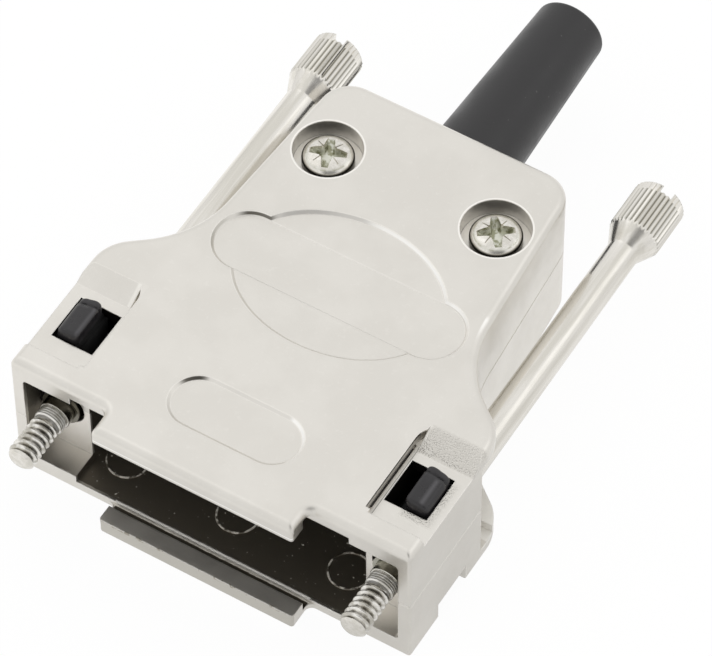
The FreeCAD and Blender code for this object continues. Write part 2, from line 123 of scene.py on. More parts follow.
castingLook = {
    "paleTone": (0.775, 0.75, 0.70, 1),
    "duskTone": (0.745, 0.72, 0.67, 1),
    "speckTone": (0.86, 0.835, 0.79, 1),
    "speckShare": 0.2,
    # painted shade in the insides that little light reaches and on the front face of the lower lip, and a
    # painted highlight on the partition of each front room: spans of |x|, y and z in millimetres, and the
    # tone there
    "paintedShadeAndLight": (
        {"spans": ((-1, 13.93), (0.30, 12.6), (-6.42, 5.7)), "tone": (0.24, 0.215, 0.175, 1)},
        {"spans": ((-1, 13.93), (0.30, 9.0), (5.6, 6.06)), "tone": (0.46, 0.43, 0.37, 1)},
        {"spans": ((-1, 13.93), (8.0, 12.6), (5.6, 6.06)), "tone": (0.12, 0.105, 0.085, 1)},
        {"spans": ((-1, 10.4), (12.5, 29.5), (-6.42, 6.06)), "tone": (0.10, 0.088, 0.068, 1)},
        {"spans": ((-1, 9.8), (-1.02, -0.10), (-6.82, -5.76)), "tone": (0.10, 0.09, 0.07, 1)},
        {"spans": ((13.85, 18.62), (0.3, 2.65), (-5.52, 5.02)), "tone": (0.50, 0.48, 0.43, 1)},
        {"spans": ((13.85, 18.76), (0.3, 2.95), (4.95, 5.4)), "tone": (0.28, 0.26, 0.22, 1)},
        {"spans": ((18.6, 18.78), (0.4, 2.95), (-5.52, 5.4)), "tone": (0.24, 0.22, 0.185, 1)},
        {"spans": ((13.85, 18.6), (2.7, 3.0), (-5.5, 0.5)), "tone": (0.96, 0.93, 0.88, 1)},
        {"spans": ((13.95, 18.76), (3.5, 10.5), (-5.66, 6.35)), "tone": (0.05, 0.046, 0.04, 1)},
        {"spans": ((-1, 9.95), (-2.9, -2.4), (-7.6, -5.72)), "tone": (0.62, 0.60, 0.55, 1)},
    ),
    # small places painted with highlights, shade and reflections, by spans of x, y and z: how soft the ends
    # are, the painted tone, and how dull the plating is
    "paintedSpots": (
        {"spans": ((-11.3, -8.5), (22.6, 24.8), (7.24, 7.46)), "soft": 0.5,
         "tone": (0.15, 0.14, 0.12, 1), "dull": 0},
        {"spans": ((-12.8, -11.3), (18.4, 22.4), (7.24, 7.46)), "soft": 0.5,
         "tone": (0.62, 0.60, 0.55, 1), "dull": 0},
        {"spans": ((-8.3, -1.2), (25.0, 29.0), (7.25, 7.46)), "soft": 0.5,
         "tone": (0.66, 0.64, 0.60, 1), "dull": 0.2},
        {"spans": ((-1.0, 9.6), (23.5, 29.0), (7.25, 7.46)), "soft": 1.3,
         "tone": (1.0, 0.985, 0.95, 1), "dull": 0},
        {"spans": ((9.3, 12.9), (19.2, 24.8), (7.24, 7.46)), "soft": 0.3,
         "tone": (1.0, 0.985, 0.95, 1), "dull": 0},
        {"spans": ((-6.6, -4.5), (5.6, 7.6), (7.28, 7.47)), "soft": 0.45,
         "tone": (0.15, 0.14, 0.12, 1), "dull": 0},
        {"spans": ((4.0, 6.8), (3.0, 7.6), (7.28, 7.47)), "soft": 0.3,
         "tone": (1.0, 0.985, 0.95, 1), "dull": 0},
        {"spans": ((13.9, 14.06), (2.75, 11.6), (7.16, 7.44)), "soft": 0.03,
         "tone": (0.07, 0.065, 0.06, 1), "dull": 0},
        {"spans": ((13.9, 14.06), (2.75, 11.6), (6.5, 7.14)), "soft": 0.03,
         "tone": (0.50, 0.48, 0.44, 1), "dull": 0.2},
        {"spans": ((14.38, 14.45), (2.9, 10.8), (6.3, 6.5)), "soft": 0.03,
         "tone": (0.30, 0.29, 0.26, 1), "dull": 0},
        {"spans": ((-14.8, -13.9), (10.4, 12.7), (6.5, 7.49)), "soft": 0.12,
         "tone": (0.90, 0.875, 0.82, 1), "dull": 0.35},
        {"spans": ((14.0, 20.0), (12.95, 18.5), (-6.5, -4.8)), "soft": 0.1,
         "tone": (0.96, 0.94, 0.89, 1), "dull": 0.75},
        {"spans": ((-20.0, -14.0), (12.95, 18.5), (-6.5, -4.8)), "soft": 0.1,
         "tone": (0.96, 0.94, 0.89, 1), "dull": 0.75},
        {"spans": ((-10.0, 10.0), (-2.75, -0.1), (5.96, 6.10)), "soft": 0.05,
         "tone": (1.0, 0.985, 0.95, 1), "dull": 0.5},
    ),
    # the top of the lower lip, whose plating is a little dull
    "dullSpans": ((-1, 9.9), (-2.6, -1.0), (-5.78, -5.6)), "dullShare": 0.14,
    "floorEdge": ((-1, 9.9), (-0.06, 0.2), (-6.5, -6.2)),
    "counterboreX": 8.545, "counterboreY": 33.48, "counterboreRadii": (3.14, 3.18, 3.30, 3.38),
    "insideWobble": 0.16, "insideRoughness": 0.5,
    "markX": 11.3, "markY": 4.3, "markRadius": 1.88, "markTone": (0.80, 0.76, 0.68, 1),
    "lipNickTone": (0.42, 0.39, 0.33, 1),
    # painted highlight on the outer edges and painted shade in the inner corners
    "paintedEdgeTone": (0.98, 0.955, 0.90, 1), "edgeHighlightShare": 0.95,
    "cornerShadeTone": (0.30, 0.28, 0.24, 1), "cornerShadeShare": 0.55,
    "roughness": 0.34,
    "grainPerMm": 3.2,
    "grainDepth": 0.006,
    "gritPerMm": 6.5,
    "gritDepth": 0.035,
    "leftGrit": 0.12,
    "edgeRadius": 0.15,
}


def distance(tree, x, y, radius):
    # how far a place lies outside a circle, in the same units
    squares = calc(tree, "ADD", calc(tree, "POWER", x, 2), calc(tree, "POWER", y, 2))
    return calc(tree, "SUBTRACT", calc(tree, "SQRT", squares), radius)


def millimetres(tree, place):
    # |x|, y and z in millimetres
    xyz = addNode(tree, "ShaderNodeSeparateXYZ", {"Vector": place}).outputs
    across = calc(tree, "MULTIPLY", calc(tree, "ABSOLUTE", xyz[0]), 1 / mm)
    return across, calc(tree, "MULTIPLY", xyz[1], 1 / mm), calc(tree, "MULTIPLY", xyz[2], 1 / mm)


def softEdges(tree, radius):
    # the rounded normal, and masks for the outer edges and the inner corners
    rounded = addNode(tree, "ShaderNodeBevel", {"Radius": radius * mm}, samples=4).outputs[0]
    flat = addNode(tree, "ShaderNodeNewGeometry").outputs["True Normal"]
    normals = {0: rounded, 1: flat}
    alike = addNode(tree, "ShaderNodeVectorMath", normals, operation="DOT_PRODUCT").outputs["Value"]
    turning = ramp(tree, alike, 0.91, 0.985, 1.0, 0.0)
    reach = {"Distance": 2 * radius * mm}
    openness = addNode(tree, "ShaderNodeAmbientOcclusion", reach, samples=4).outputs["AO"]
    outer = calc(tree, "MULTIPLY", turning, ramp(tree, openness, 0.80, 0.95))
    inner = calc(tree, "MULTIPLY", turning, ramp(tree, openness, 0.55, 0.80, 1.0, 0.0))
    return rounded, outer, inner


def castingMaterial(values):
    material, tree, shader, place = newMaterial("nickelCasting", {"Metallic": 1.0})
    across, along, height = millimetres(tree, place)
    inMm = (across, along, height)

    clouds = ramp(tree, noise(tree, place, 0.16, 4), 0.40, 0.62)
    specks = ramp(tree, noise(tree, place, 2.3, 2), 0.62, 0.70)
    tone = mixColor(tree, clouds, values["duskTone"], values["paleTone"])
    tone = mixColor(tree, calc(tree, "MULTIPLY", specks, values["speckShare"]), tone, values["speckTone"])
    rounded, outer, inner = softEdges(tree, values["edgeRadius"])
    # painted highlight along the outer edges and painted shade in the inner corners
    tone = mixColor(tree, calc(tree, "MULTIPLY", outer, values["edgeHighlightShare"]), tone, values["paintedEdgeTone"])
    tone = mixColor(tree, calc(tree, "MULTIPLY", inner, values["cornerShadeShare"]), tone, values["cornerShadeTone"])

    # the painted shade and light of these places ends at a slightly ragged line
    wobble = calc(tree, "SUBTRACT", noise(tree, place, 1.4, 3), 0.5)
    wobble = calc(tree, "MULTIPLY", wobble, values["insideWobble"])
    ragged = (across, calc(tree, "ADD", along, wobble), height)
    within = 0.0
    for inside in values["paintedShadeAndLight"]:
        mask = boxMask(tree, ragged, inside["spans"], 0.04)
        tone = mixColor(tree, mask, tone, inside["tone"])
        within = calc(tree, "MAXIMUM", mask, within)
    signed = addNode(tree, "ShaderNodeSeparateXYZ", {"Vector": place}).outputs[0]
    signed = calc(tree, "MULTIPLY", signed, 1 / mm)
    dullness = 0.0
    # painted highlights, shade and reflections in small places
    for paintedSpot in values["paintedSpots"]:
        mask = boxMask(tree, (signed, along), paintedSpot["spans"][:2], paintedSpot["soft"])
        mask = calc(tree, "MULTIPLY", mask, between(tree, height, *paintedSpot["spans"][2], 0.02))
        tone = mixColor(tree, mask, tone, paintedSpot["tone"])
        if paintedSpot["dull"]:
            dullness = calc(tree, "MULTIPLY_ADD", mask, paintedSpot["dull"], dullness)

    # the connector floor gets a painted highlight, broken, along the rims of the ejector marks, and pale
    # flecks strewn elsewhere
    toMark = calc(tree, "SUBTRACT", along, values["markY"])
    middle = calc(tree, "ABSOLUTE", distance(tree, across, toMark, values["markRadius"]))
    besides = calc(tree, "SUBTRACT", across, values["markX"])
    besides = calc(tree, "ABSOLUTE", distance(tree, besides, toMark, values["markRadius"]))
    onMark = ramp(tree, calc(tree, "MINIMUM", middle, besides), 0.05, 0.13, 1.0, 0.0)
    broken = ramp(tree, noise(tree, place, 1.3, 3), 0.42, 0.58)
    flecks = ramp(tree, noise(tree, place, 3.4, 1), 0.73, 0.78)
    rimHighlightsAndFlecks = calc(tree, "MAXIMUM", calc(tree, "MULTIPLY", onMark, broken), flecks)
    onFloor = boxMask(tree, inMm, ((-1, 13.8), (0.2, 11), (-6.5, -6.1)), 0.05)
    tone = mixColor(tree, calc(tree, "MULTIPLY", rimHighlightsAndFlecks, onFloor), tone, values["markTone"])

    # dark nicks, broken, along the front edge of the lower lip
    nicks = ramp(tree, noise(tree, place, 1.7, 3), 0.54, 0.60)
    onLip = boxMask(tree, inMm, ((-1, 9.9), (-2.75, -2.5), (-5.95, -5.6)), 0.03)
    tone = mixColor(tree, calc(tree, "MULTIPLY", nicks, onLip), tone, values["lipNickTone"])

    # a painted highlight runs along the front edge of the floor; there and in the dull places the plating is
    # made matte, so it scatters light
    uneven = calc(tree, "MULTIPLY_ADD", wobble, 0.4, along)
    edgeHighlight = boxMask(tree, (across, uneven, height), values["floorEdge"], 0.03)
    tone = mixColor(tree, edgeHighlight, tone, values["paintedEdgeTone"])
    dull = calc(tree, "MULTIPLY", boxMask(tree, inMm, values["dullSpans"], 0.06), values["dullShare"])
    dull = calc(tree, "MAXIMUM", dull, dullness)
    matte = calc(tree, "MAXIMUM", calc(tree, "MULTIPLY", rimHighlightsAndFlecks, onFloor), calc(tree, "MAXIMUM", edgeHighlight, dull))
    feed(tree, calc(tree, "SUBTRACT", 1.0, matte), shader.inputs["Metallic"])

    # the rims of the two counterbores get a painted highlight
    toBore = calc(tree, "SUBTRACT", across, values["counterboreX"])
    toBore = distance(tree, toBore, calc(tree, "SUBTRACT", along, values["counterboreY"]), 0.0)
    inLow, outLow, inHigh, outHigh = values["counterboreRadii"]
    rise, fall = ramp(tree, toBore, inLow, outLow), ramp(tree, toBore, inHigh, outHigh, 1.0, 0.0)
    rim = calc(tree, "MULTIPLY", rise, fall)
    rim = calc(tree, "MULTIPLY", rim, ramp(tree, height, 7.3, 7.4))
    tone = mixColor(tree, rim, tone, values["paintedEdgeTone"])

    # the pads round the clip windows keep the rough skin of the mould, most of all on the right ramp
    side = addNode(tree, "ShaderNodeSeparateXYZ", {"Vector": place}).outputs[0]
    side = ramp(tree, side, -mm, mm, values["leftGrit"], 1.0)
    onRamp = boxMask(tree, inMm, ((14.6, 19.9), (10.2, 12.7), (6.2, 7.6)), 0.15)
    onPad = boxMask(tree, inMm, ((16.3, 19.4), (3.9, 9.0), (6.3, 6.6)), 0.3)
    rough = calc(tree, "MULTIPLY", side, calc(tree, "MULTIPLY_ADD", onPad, 1.2, onRamp))
    grit = {"Vector": place, "Scale": values["gritPerMm"] / mm}
    cells = addNode(tree, "ShaderNodeTexVoronoi", grit).outputs[0]
    pits = calc(tree, "MULTIPLY", ramp(tree, cells, 0.1, 0.65), rough)
    grain = noise(tree, place, values["grainPerMm"], 2)
    skin = bump(tree, grain, values["grainDepth"], rounded)
    skin = bump(tree, pits, values["gritDepth"], skin)
    # painted shade in the pits of the skin
    tone = mixColor(tree, calc(tree, "MULTIPLY", pits, 0.2), tone, values["cornerShadeTone"])

    patches = noise(tree, place, 0.5, 4)
    roughness = ramp(tree, patches, 0.3, 0.7, values["roughness"] - 0.03, values["roughness"] + 0.04)
    rougher = calc(tree, "SUBTRACT", values["insideRoughness"], roughness)
    feed(tree, tone, shader.inputs["Base Color"])
    feed(tree, calc(tree, "MULTIPLY_ADD", within, rougher, roughness), shader.inputs["Roughness"])
    feed(tree, skin, shader.inputs["Normal"])
    return material


# Bright nickel plating over turned steel

turnedLook = {
    "paleTone": (0.80, 0.775, 0.725, 1),
    "duskTone": (0.70, 0.675, 0.615, 1),
    "roughness": 0.22,
    "streaksPerMm": 1.6,
    "toolMarksPerMm": 7.0,
    "toolMarkDepth": 0.003,
}


def turnedMaterial(name, values, axis, shade=None):
    # streaks run along the given axis and tool marks run round it
    material, tree, shader, place = newMaterial(name, {"Metallic": 1.0})
    lengthways = [1.0, 1.0, 1.0]
    lengthways[axis] = 0.05
    crossways = [0.08, 0.08, 0.08]
    crossways[axis] = 1.0
    streaks = addNode(tree, "ShaderNodeMapping", {"Vector": place, "Scale": lengthways}).outputs[0]
    streaks = noise(tree, streaks, values["streaksPerMm"], 2)
    marks = addNode(tree, "ShaderNodeMapping", {"Vector": place, "Scale": crossways}).outputs[0]
    marks = noise(tree, marks, values["toolMarksPerMm"], 2)
    tone = mixColor(tree, ramp(tree, streaks, 0.36, 0.64), values["duskTone"], values["paleTone"])
    if shade:
        tone, dull = shade(tree, place, tone)
        feed(tree, calc(tree, "SUBTRACT", 1.0, dull), shader.inputs["Metallic"])
    clouds = noise(tree, place, 0.7, 3)
    roughness = ramp(tree, clouds, 0.3, 0.7, values["roughness"] + 0.04, values["roughness"] - 0.03)
    feed(tree, tone, shader.inputs["Base Color"])
    feed(tree, roughness, shader.inputs["Roughness"])
    feed(tree, bump(tree, marks, values["toolMarkDepth"]), shader.inputs["Normal"])
    return material


screwShade = {
    "axisX": 16.65,
    "grooveY": (-3.95, -0.05), "grooveRadii": (1.0, 1.2), "grooveShadeTone": (0.15, 0.14, 0.115, 1),
    "threadDull": 0.12, "collarY": (-0.1, 1.27), "collarDull": 0.5,
    # painted reflections: thread and collar are painted in pale and dark blotches where they mirror their
    # surroundings
    "reflectionPaleTone": (0.96, 0.945, 0.91, 1), "reflectionDarkTone": (0.40, 0.38, 0.33, 1), "reflectionShare": 0.55,
    "knurlY": (43.9, 47.9), "toothRadii": (2.28, 2.42), "toothShadeTone": (0.30, 0.29, 0.25, 1),
    "roomY": (1.3, 3.3), "leftRoomShadeTone": (0.17, 0.16, 0.13, 1), "rightRoomShadeTone": (0.42, 0.41, 0.35, 1),
}


def jackscrewShade(tree, place, tone, values=screwShade):
    # painted shade in the thread and between the teeth, and the painted shade of the front room on the shank
    across, along, height = millimetres(tree, place)
    radius = distance(tree, calc(tree, "SUBTRACT", across, values["axisX"]), height, 0.0)
    groove = ramp(tree, radius, *values["grooveRadii"], 1.0, 0.0)
    inThread = between(tree, along, *values["grooveY"], 0.03)
    tone = mixColor(tree, calc(tree, "MULTIPLY", groove, inThread), tone, values["grooveShadeTone"])
    valley = ramp(tree, radius, *values["toothRadii"], 1.0, 0.0)
    inKnurl = between(tree, along, *values["knurlY"], 0.05)
    tone = mixColor(tree, calc(tree, "MULTIPLY", valley, inKnurl), tone, values["toothShadeTone"])
    # painted shade of the front room on the shank, darker on the left
    side = addNode(tree, "ShaderNodeSeparateXYZ", {"Vector": place}).outputs[0]
    roomShade = mixColor(tree, ramp(tree, side, -mm, mm), values["leftRoomShadeTone"], values["rightRoomShadeTone"])
    # the thread and the fine lines of the collar scatter light
    onCollar = between(tree, along, *values["collarY"], 0.04)
    # painted reflections in pale and dark blotches on the thread and collar
    paintedReflection = ramp(tree, noise(tree, place, 0.85, 2), 0.42, 0.58)
    paintedReflection = mixColor(tree, paintedReflection, values["reflectionDarkTone"], values["reflectionPaleTone"])
    onFront = calc(tree, "MULTIPLY", calc(tree, "MAXIMUM", inThread, onCollar), values["reflectionShare"])
    tone = mixColor(tree, onFront, tone, paintedReflection)
    dull = calc(tree, "MULTIPLY", onCollar, values["collarDull"])
    dull = calc(tree, "MAXIMUM", dull, calc(tree, "MULTIPLY", inThread, values["threadDull"]))
    return mixColor(tree, between(tree, along, *values["roomY"], 0.06), tone, roomShade), dull


headShade = {
    "x": 8.545, "y": 33.48, "edgeRadii": (2.18, 2.32), "paintedEdgeTone": (0.05, 0.048, 0.04, 1),
    "recessRadii": (1.95, 2.1), "recessZ": (6.78, 7.0), "recessShadeTone": (0.74, 0.74, 0.65, 1),
    "recessDeepShadeTone": (0.33, 0.33, 0.22, 1),
}


def headShadeOf(tree, place, tone, values=headShade):
    # painted shadow round the rim of the head, and painted shade in blotches on the dull plating inside the
    # recess
    across, along, height = millimetres(tree, place)
    fromAxis = (calc(tree, "SUBTRACT", across, values["x"]), calc(tree, "SUBTRACT", along, values["y"]))
    radius = distance(tree, *fromAxis, 0.0)
    tone = mixColor(tree, ramp(tree, radius, *values["edgeRadii"]), tone, values["paintedEdgeTone"])
    low = ramp(tree, height, *values["recessZ"], 1.0, 0.0)
    inside = calc(tree, "MULTIPLY", low, ramp(tree, radius, *values["recessRadii"], 1.0, 0.0))
    shadeBlotches = ramp(tree, noise(tree, place, 1.5, 2), 0.42, 0.56)
    recess = mixColor(tree, shadeBlotches, values["recessDeepShadeTone"], values["recessShadeTone"])
    return mixColor(tree, inside, tone, recess), calc(tree, "MULTIPLY", inside, 0.35)


# Black moulded plastic of the clips

clipLook = {
    "tone": (0.022, 0.0205, 0.022, 1),
    "wornTone": (0.034, 0.032, 0.034, 1),
    "scuffTone": (0.08, 0.077, 0.078, 1),
    "ridgeHighlightTone": (0.085, 0.082, 0.087, 1),
    # spans of x, y and z of the painted highlights along the ridges
    "ridgeHighlights": (((17.55, 17.85), (5.4, 8.1), (6.4, 7.8)), ((-16.66, -16.46), (5.1, 8.3), (6.8, 7.8))),
    "deepShadeTone": (0.002, 0.002, 0.002, 1),
    "deepZ": (5.9, 6.5),
    "roughness": 0.30,
    "edgeRadius": 0.06,
}


def clipMaterial(values):
    material, tree, shader, place = newMaterial("blackClip", {"Specular IOR Level": 0.45})
    xyz = addNode(tree, "ShaderNodeSeparateXYZ", {"Vector": place}).outputs
    height = xyz[2]
    inMm = [calc(tree, "MULTIPLY", value, 1 / mm) for value in (xyz[0], xyz[1], xyz[2])]
    clouds = noise(tree, place, 0.9, 4)
    scuffs = ramp(tree, noise(tree, place, 3.0, 2), 0.66, 0.74)
    worn = calc(tree, "MULTIPLY", ramp(tree, clouds, 0.45, 0.7), 0.5)
    tone = mixColor(tree, worn, values["tone"], values["wornTone"])
    tone = mixColor(tree, calc(tree, "MULTIPLY", scuffs, 0.4), tone, values["scuffTone"])
    # painted highlights along the ridges
    for ridge in values["ridgeHighlights"]:
        tone = mixColor(tree, boxMask(tree, inMm, ridge, 0.2), tone, values["ridgeHighlightTone"])
    # painted shade low down in the window; the plastic there is also rougher
    low, high = (z * mm for z in values["deepZ"])
    deep = ramp(tree, height, low, high, 1.0, 0.0)
    tone = mixColor(tree, deep, tone, values["deepShadeTone"])
    roughness = ramp(tree, clouds, 0.3, 0.7, values["roughness"] - 0.05, values["roughness"] + 0.08)
    roughness = calc(tree, "MULTIPLY_ADD", deep, 0.5, roughness)
    rounded = addNode(tree, "ShaderNodeBevel", {"Radius": values["edgeRadius"] * mm}, samples=4).outputs[0]
    feed(tree, tone, shader.inputs["Base Color"])
    feed(tree, roughness, shader.inputs["Roughness"])
    feed(tree, bump(tree, noise(tree, place, 2.6, 3), 0.010, rounded), shader.inputs["Normal"])
    return material


# Rubber of the cable boot

bootLook = {
    "tone": (0.013, 0.0122, 0.013, 1),
    "dustTone": (0.022, 0.021, 0.022, 1),
    "speckTone": (0.10, 0.095, 0.095, 1),
    "rimShadeTone": (0.004, 0.004, 0.004, 1),
    "rimY": (61.45, 61.75),
    "roughness": 0.42,
}


def bootMaterial(values):
    settings = {"Specular IOR Level": 0.6, "Sheen Weight": 0.12, "Sheen Roughness": 0.3}
    material, tree, shader, place = newMaterial("bootRubber", settings)
    along = addNode(tree, "ShaderNodeSeparateXYZ", {"Vector": place}).outputs[1]
    clouds = noise(tree, place, 0.35, 4)
    dust = calc(tree, "MULTIPLY", ramp(tree, clouds, 0.4, 0.7), 0.45)
    specks = ramp(tree, noise(tree, place, 1.6, 2), 0.71, 0.76)
    tone = mixColor(tree, dust, values["tone"], values["dustTone"])
    tone = mixColor(tree, calc(tree, "MULTIPLY", specks, 0.5), tone, values["speckTone"])
    # painted shade round the rim at the far end of the boot
    low, high = (y * mm for y in values["rimY"])
    tone = mixColor(tree, ramp(tree, along, low, high), tone, values["rimShadeTone"])
    roughness = ramp(tree, clouds, 0.3, 0.7, values["roughness"] - 0.05, values["roughness"] + 0.08)
    feed(tree, tone, shader.inputs["Base Color"])
    feed(tree, roughness, shader.inputs["Roughness"])
    feed(tree, bump(tree, noise(tree, place, 4.5, 3), 0.008), shader.inputs["Normal"])
    return material


casting = castingMaterial(castingLook)
turned = turnedMaterial("brightNickel", turnedLook, 1, jackscrewShade)
pressed = turnedMaterial("springSteel", turnedLook, 0)
screwNickel = turnedMaterial("screwNickel", turnedLook, 2)
headNickel = turnedMaterial("headNickel", turnedLook, 2, headShadeOf)
blackClip = clipMaterial(clipLook)
rubber = bootMaterial(bootLook)


def dress(node, material):
    slots = nodes[node].data.materials
    slots.clear()
    slots.append(material)


for node in ("upper_shell", "lower_shell"):
    dress(node, casting)
for side in ("left", "right"):
    dress("retaining_ring_" + side, turned)
    dress("clamp_screw_" + side, screwNickel)
dress("cable_boot", rubber)
dress("cable_clamp", pressed)
print("materials made and the CAD nodes dressed")


# Geometry tree helpers

def newTree(name, sockets):
    tree = bpy.data.node_groups.new(name, "GeometryNodeTree")
    tree.interface.new_socket(name="Geometry", in_out="OUTPUT", socket_type="NodeSocketGeometry")
    tree.interface.new_socket(name="Geometry", in_out="INPUT", socket_type="NodeSocketGeometry")
    for label, kind in sockets.items():
        tree.interface.new_socket(name=label, in_out="INPUT", socket_type="NodeSocket" + kind)
    entry = addNode(tree, "NodeGroupInput")
    return tree, entry.outputs


def closeTree(tree, geometry, material):
    # real mesh and material at the end, because the export drops instances
    real = addNode(tree, "GeometryNodeRealizeInstances", {"Geometry": geometry}).outputs[0]
    finish = addNode(tree, "GeometryNodeSetMaterial", {"Geometry": real, "Material": material}).outputs[0]
    addNode(tree, "NodeGroupOutput", {"Geometry": finish})


def runTree(source, tree, values):
    # sets each named input by its identifier, then bakes the result to a plain mesh
    modifier = source.modifiers.new(tree.name, "NODES")
    modifier.node_group = tree
    for item in tree.interface.items_tree:
        if item.in_out == "INPUT" and item.name in values:
            modifier[item.identifier] = values[item.name]
    bakeModifiers(source)


def bakeModifiers(source):
    bpy.context.view_layer.update()
    evaluated = source.evaluated_get(bpy.context.evaluated_depsgraph_get())
    mesh = bpy.data.meshes.new_from_object(evaluated)
    source.modifiers.clear()
    source.data = mesh


def newObject(name, mesh):
    thing = bpy.data.objects.new(name, mesh)
    bpy.context.scene.collection.objects.link(thing)
    return thing


def smoothUpTo(thing, degrees):
    thing.data.shade_smooth()
    thing.data.set_sharp_from_angle(angle=math.radians(degrees))


def lathe(name, profile, columns):
    # profile holds (radius, y) pairs in millimetres, from the front end to the rear end
    form = bmesh.new()
    rings = []
    for radius, y in profile:
        ring = []
        for step in range(columns):
            angle = 2 * math.pi * step / columns
            corner = (radius * math.cos(angle), y, radius * math.sin(angle))
            ring.append(form.verts.new([value * mm for value in corner]))
        rings.append(ring)
    for lower, upper in zip(rings, rings[1:]):
        for step in range(columns):
            after = (step + 1) % columns
            form.faces.new((lower[step], upper[step], upper[after], lower[after]))
    for ring, y, flip in ((rings[0], profile[0][1], False), (rings[-1], profile[-1][1], True)):
        centre = form.verts.new((0, y * mm, 0))
        for step in range(columns):
            after = (step + 1) % columns
            corners = (ring[step], ring[after], centre)
            form.faces.new(corners[::-1] if flip else corners)
    bmesh.ops.recalc_face_normals(form, faces=form.faces)
    mesh = bpy.data.meshes.new(name)
    form.to_mesh(mesh)
    form.free()
    return mesh


def steps(first, last, count):
    return [first + (last - first) * index / count for index in range(count + 1)]


def boxMesh(name, low, high):
    form = bmesh.new()
    bmesh.ops.create_cube(form, size=1)
    for vert in form.verts:
        vert.co = [(a + (b - a) * (c + 0.5)) * mm for a, b, c in zip(low, high, vert.co)]
    mesh = bpy.data.meshes.new(name)
    form.to_mesh(mesh)
    form.free()
    return mesh


def combine(thing, others, operation):
    for other in others:
        modifier = thing.modifiers.new("combine", "BOOLEAN")
        modifier.operation = operation
        modifier.solver = "EXACT"
        modifier.object = other
    bakeModifiers(thing)
    for other in others:
        bpy.data.objects.remove(other)


def cutAway(thing, cutters):
    combine(thing, cutters, "DIFFERENCE")


def joinOn(thing, addition):
    combine(thing, [addition], "UNION")


# Jackscrews: a turned rod, with the thread and the knurl cut by a rule

jackscrew = {
    "screwX": 16.65,
    "tipY": -4.25, "tipRadius": 0.98, "tipChamfer": 0.34,
    "threadRadius": 1.34, "threadRearY": -0.1, "pitch": 0.635, "threadDepth": 0.38,
    "reliefRadius": 1.24, "reliefRearY": 0.2, "collarRadius": 1.37, "collarRearY": 1.25,
    "collarLines": (0.48, 0.72, 0.96), "lineDepth": 0.035,
    "shankRadius": 1.5,
    "ringGroove": (2.25, 2.95, 1.25),
    "neck": (4.15, 9.25, 1.1),
    "coneY": 41.9, "knurlY": 44.0, "knobRadius": 2.485, "knobEndY": 48.8, "knobChamfer": 0.25,
    "teeth": 32, "toothDepth": 0.19,
    "slotWidth": 1.2, "slotDepth": 0.8,
    "slotTurn": {"left": -85.0, "right": -68.0},
    "columns": 128, "smoothAngle": 34,
}


def jackscrewTree():
    labels = {"Pitch": "Float", "Thread Radius": "Float", "Thread Depth": "Float", "Thread Front": "Float",
              "Thread Rear": "Float", "Teeth": "Float", "Knob Radius": "Float", "Tooth Depth": "Float",
              "Knurl Front": "Float", "Material": "Material"}
    tree, given = newTree("cutThreadAndKnurl", labels)
    position = addNode(tree, "GeometryNodeInputPosition").outputs[0]
    xyz = addNode(tree, "ShaderNodeSeparateXYZ", {"Vector": position}).outputs
    squares = calc(tree, "ADD", calc(tree, "POWER", xyz[0], 2), calc(tree, "POWER", xyz[2], 2))
    radius = calc(tree, "SQRT", squares)
    turn = calc(tree, "DIVIDE", calc(tree, "ARCTAN2", xyz[2], xyz[0]), 2 * math.pi)

    # right-hand helix: the groove is deepest half a pitch from the crest
    phase = calc(tree, "FRACT", calc(tree, "ADD", calc(tree, "DIVIDE", xyz[1], given["Pitch"]), turn))
    fromCrest = calc(tree, "MULTIPLY", calc(tree, "ABSOLUTE", calc(tree, "SUBTRACT", phase, 0.5)), 2)
    groove = calc(tree, "SUBTRACT", 1.0, calc(tree, "COSINE", calc(tree, "MULTIPLY", fromCrest, math.pi / 2)))
    depth = calc(tree, "MULTIPLY", groove, given["Thread Depth"])
    threaded = calc(tree, "MINIMUM", radius, calc(tree, "SUBTRACT", given["Thread Radius"], depth))
    before = calc(tree, "LESS_THAN", xyz[1], given["Thread Rear"])
    after = calc(tree, "GREATER_THAN", xyz[1], given["Thread Front"])
    inThread = calc(tree, "MULTIPLY", before, after)

    toothPhase = calc(tree, "FRACT", calc(tree, "MULTIPLY", turn, given["Teeth"]))
    valley = calc(tree, "MULTIPLY", calc(tree, "ABSOLUTE", calc(tree, "SUBTRACT", toothPhase, 0.5)), 2)
    sunk = calc(tree, "MULTIPLY", valley, given["Tooth Depth"])
    toothed = calc(tree, "SUBTRACT", given["Knob Radius"], sunk)
    toothed = calc(tree, "MINIMUM", radius, toothed)
    inKnurl = calc(tree, "GREATER_THAN", xyz[1], given["Knurl Front"])

    wanted = calc(tree, "MULTIPLY_ADD", inThread, calc(tree, "SUBTRACT", threaded, radius), radius)
    wanted = calc(tree, "MULTIPLY_ADD", inKnurl, calc(tree, "SUBTRACT", toothed, radius), wanted)
    scale = calc(tree, "DIVIDE", wanted, calc(tree, "MAXIMUM", radius, 0.00001))
    newX = calc(tree, "MULTIPLY", xyz[0], scale)
    newZ = calc(tree, "MULTIPLY", xyz[2], scale)
    moved = addNode(tree, "ShaderNodeCombineXYZ", {"X": newX, "Y": xyz[1], "Z": newZ}).outputs[0]
    inputs = {"Geometry": given["Geometry"], "Position": moved}
    shaped = addNode(tree, "GeometryNodeSetPosition", inputs).outputs[0]
    closeTree(tree, shaped, given["Material"])
    return tree


